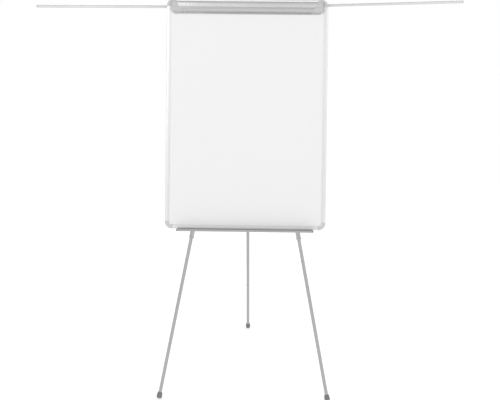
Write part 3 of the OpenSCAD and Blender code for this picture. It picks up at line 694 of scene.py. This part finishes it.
def clamp_springs():
    """Wound springs on the pins' free ends, each with one leg down to the base."""
    bm = bmesh.new()
    steps = TURNS * TURN_STEPS
    for x in KNUCKLE_XS:
        path = []
        for i in range(steps + 1):
            turn = 2 * pi * TURNS * i / steps
            y, z = HINGE_Y + SPRING_R * cos(turn), HINGE_Z + SPRING_R * sin(turn)
            path.append(Vector((x + SPRING_START + SPRING_LEN * i / steps, y, z)))
        last = path[-1] + Vector((0.3, 0, 0))
        path += [last + TAIL * k / TAIL_STEPS for k in range(1, TAIL_STEPS + 1)]
        sweep(bm, path, WIRE_R, WIRE_SIDES)
    piece("wound_springs", "board", "fastener_steel", bm, board, ["clamp_springs"], sharp=60)


def sweep(bm, path, radius, sides):
    """A round wire along a path in millimetres."""
    rings = []
    side = Vector((0, 0, 1))
    for i, point in enumerate(path):
        ahead = (path[min(i + 1, len(path) - 1)] - path[max(i - 1, 0)]).normalized()
        side = (side - ahead * side.dot(ahead)).normalized()
        other = ahead.cross(side)
        turns = [2 * pi * k / sides for k in range(sides)]
        spokes = [(side * cos(t) + other * sin(t)) * radius for t in turns]
        rings.append([bm.verts.new((point + spoke) * MM) for spoke in spokes])
    for a, b in zip(rings, rings[1:]):
        bridge(bm, a, b)
    bm.faces.new(rings[0])
    bm.faces.new(rings[-1])


# ---- CAD nodes that stay: their finishes and their rounded edges ----

# The edge radius in millimetres, by the start of a node's name; the last match counts
CAD_EDGES = {
    "corner_cap_": 0.7, "corner_screws": 0.25, "clamp_base": 0.2, "clamp_base_screws": 0.25,
    "pad_hook_": 0.4, "clamp_grip_strip": 0.2, "tray_end_": 0.6, "tray_screws": 0.25,
    "head_mount_plate": 0.5, "tripod_head": 1.0, "head_screws": 0.35, "front_leg_pivots": 0.5,
    "rear_leg_pivot": 0.5, "leg_knuckle_": 0.9, "leg_rest_pads": 0.8, "arm_guide_": 0.8,
    "arm_stop_": 0.4, "lock_plug_": 0.3,
}


def finish_cad_nodes():
    """Gives each CAD node that is still shown its finish and its edges."""
    slots = {p["node"]: p["material_slot"] for p in record["subparts"]}
    for name, obj in frame["nodes"].items():
        if obj.hide_render:
            continue
        for holder in obj.material_slots:
            holder.material = finish[slots[name]]
        widths = [width for start, width in CAD_EDGES.items() if name.startswith(start)]
        if widths:
            soften_cad(name, widths[-1])


# ---- Stage ----

CAMERA_AT = (0.0925, -4.208, 1.625)
YAW, PITCH, ROLL = radians(-1.07), radians(11.05), radians(0.5)
LENS, SENSOR = 64.8, 36          # in millimetres


def camera():
    """The photograph's angle, without shift."""
    data = bpy.data.cameras.new("camera")
    data.lens = LENS
    data.sensor_width = SENSOR
    made = bpy.data.objects.new("camera", data)
    bpy.context.scene.collection.objects.link(made)
    ahead = Vector((sin(YAW) * cos(PITCH), cos(YAW) * cos(PITCH), -sin(PITCH)))
    right = Vector((cos(YAW), -sin(YAW), 0))
    up = right.cross(ahead)
    tilted_right = right * cos(ROLL) + up * sin(ROLL)
    tilted_up = up * cos(ROLL) - right * sin(ROLL)
    turned = Matrix((tilted_right, tilted_up, -ahead)).transposed().to_4x4()
    made.matrix_world = Matrix.Translation(CAMERA_AT) @ turned
    bpy.context.scene.camera = made


# Where each area light stands, its width in metres and its power in watts
LIGHTS = {
    "key": ((-2.0, -4.1, 3.2), 2.0, 42),
    "fill": ((2.6, -3.8, 3.0), 2.2, 30),
    "back": ((0.6, 3.2, 3.4), 2.6, 20),
}
LIGHTS_AIM = (0, -0.2, 1.0)
SUN_STRENGTH, SUN_ANGLE, SUN_TILT = 0.9, radians(80), radians(-40)
FLOOR_SIZE, FLOOR_GREY, FLOOR_ROUGH, FLOOR_GLOW = 60, 0.70, 0.9, 0.375
HORIZON_AT, HORIZON = 0.12, (1, 1, 1, 1)
OVERHEAD_AT, OVERHEAD = 0.75, (0.55, 0.55, 0.56, 1)


def area_light(name, at, size, power):
    """A soft round light that is aimed at the easel."""
    data = bpy.data.lights.new(name, "AREA")
    data.shape = "DISK"
    data.size = size
    data.energy = power
    made = bpy.data.objects.new(name, data)
    bpy.context.scene.collection.objects.link(made)
    made.location = at
    made.rotation_euler = (Vector(LIGHTS_AIM) - Vector(at)).to_track_quat("-Z", "Y").to_euler()


def sweep_light():
    """A very soft sun from behind, which lights the floor evenly."""
    data = bpy.data.lights.new("sweep", "SUN")
    data.energy = SUN_STRENGTH
    data.angle = SUN_ANGLE
    made = bpy.data.objects.new("sweep", data)
    bpy.context.scene.collection.objects.link(made)
    made.rotation_euler = (SUN_TILT, 0, 0)


def pale_floor():
    """A floor bright enough to meet the white background."""
    bpy.ops.mesh.primitive_plane_add(size=FLOOR_SIZE)
    floor = bpy.context.object
    floor.name = "floor"
    pale = bpy.data.materials.new("floor")
    pale.use_nodes = True
    shader = pale.node_tree.nodes["Principled BSDF"]
    shader.inputs["Base Color"].default_value = (FLOOR_GREY, FLOOR_GREY, FLOOR_GREY, 1)
    shader.inputs["Roughness"].default_value = FLOOR_ROUGH
    shader.inputs["Emission Color"].default_value = (1, 1, 1, 1)
    shader.inputs["Emission Strength"].default_value = FLOOR_GLOW
    floor.data.materials.append(pale)


def bright_world():
    """White at the horizon and greyer overhead."""
    world = bpy.data.worlds.new("studio")
    bpy.context.scene.world = world
    world.use_nodes = True
    tree = world.node_tree
    direction = node(tree, "ShaderNodeTexCoord").outputs["Generated"]
    height = node(tree, "ShaderNodeSeparateXYZ", {0: direction}).outputs["Z"]
    fade = node(tree, "ShaderNodeValToRGB", {"Fac": ramp(tree, height, 0.0, 1.0)})
    stops = fade.color_ramp.elements
    stops[0].position, stops[0].color = HORIZON_AT, HORIZON
    stops[1].position, stops[1].color = OVERHEAD_AT, OVERHEAD
    tree.links.new(fade.outputs["Color"], tree.nodes["Background"].inputs["Color"])
    tree.nodes["Background"].inputs["Strength"].default_value = 1.0


def studio():
    """The floor, the world, three soft lights and a soft sun."""
    pale_floor()
    bright_world()
    for name, (at, size, power) in LIGHTS.items():
        area_light(name, at, size, power)
    sweep_light()
    bpy.context.scene.view_settings.view_transform = "Standard"


camera()
frame_rails()
clamp_bar()
for side_name, side_sign in (("left", -1), ("right", 1)):
    clamp_end_cap(side_name, side_sign)
pen_tray()
legs()
display_arms()
clamp_springs()
finish_cad_nodes()
studio()
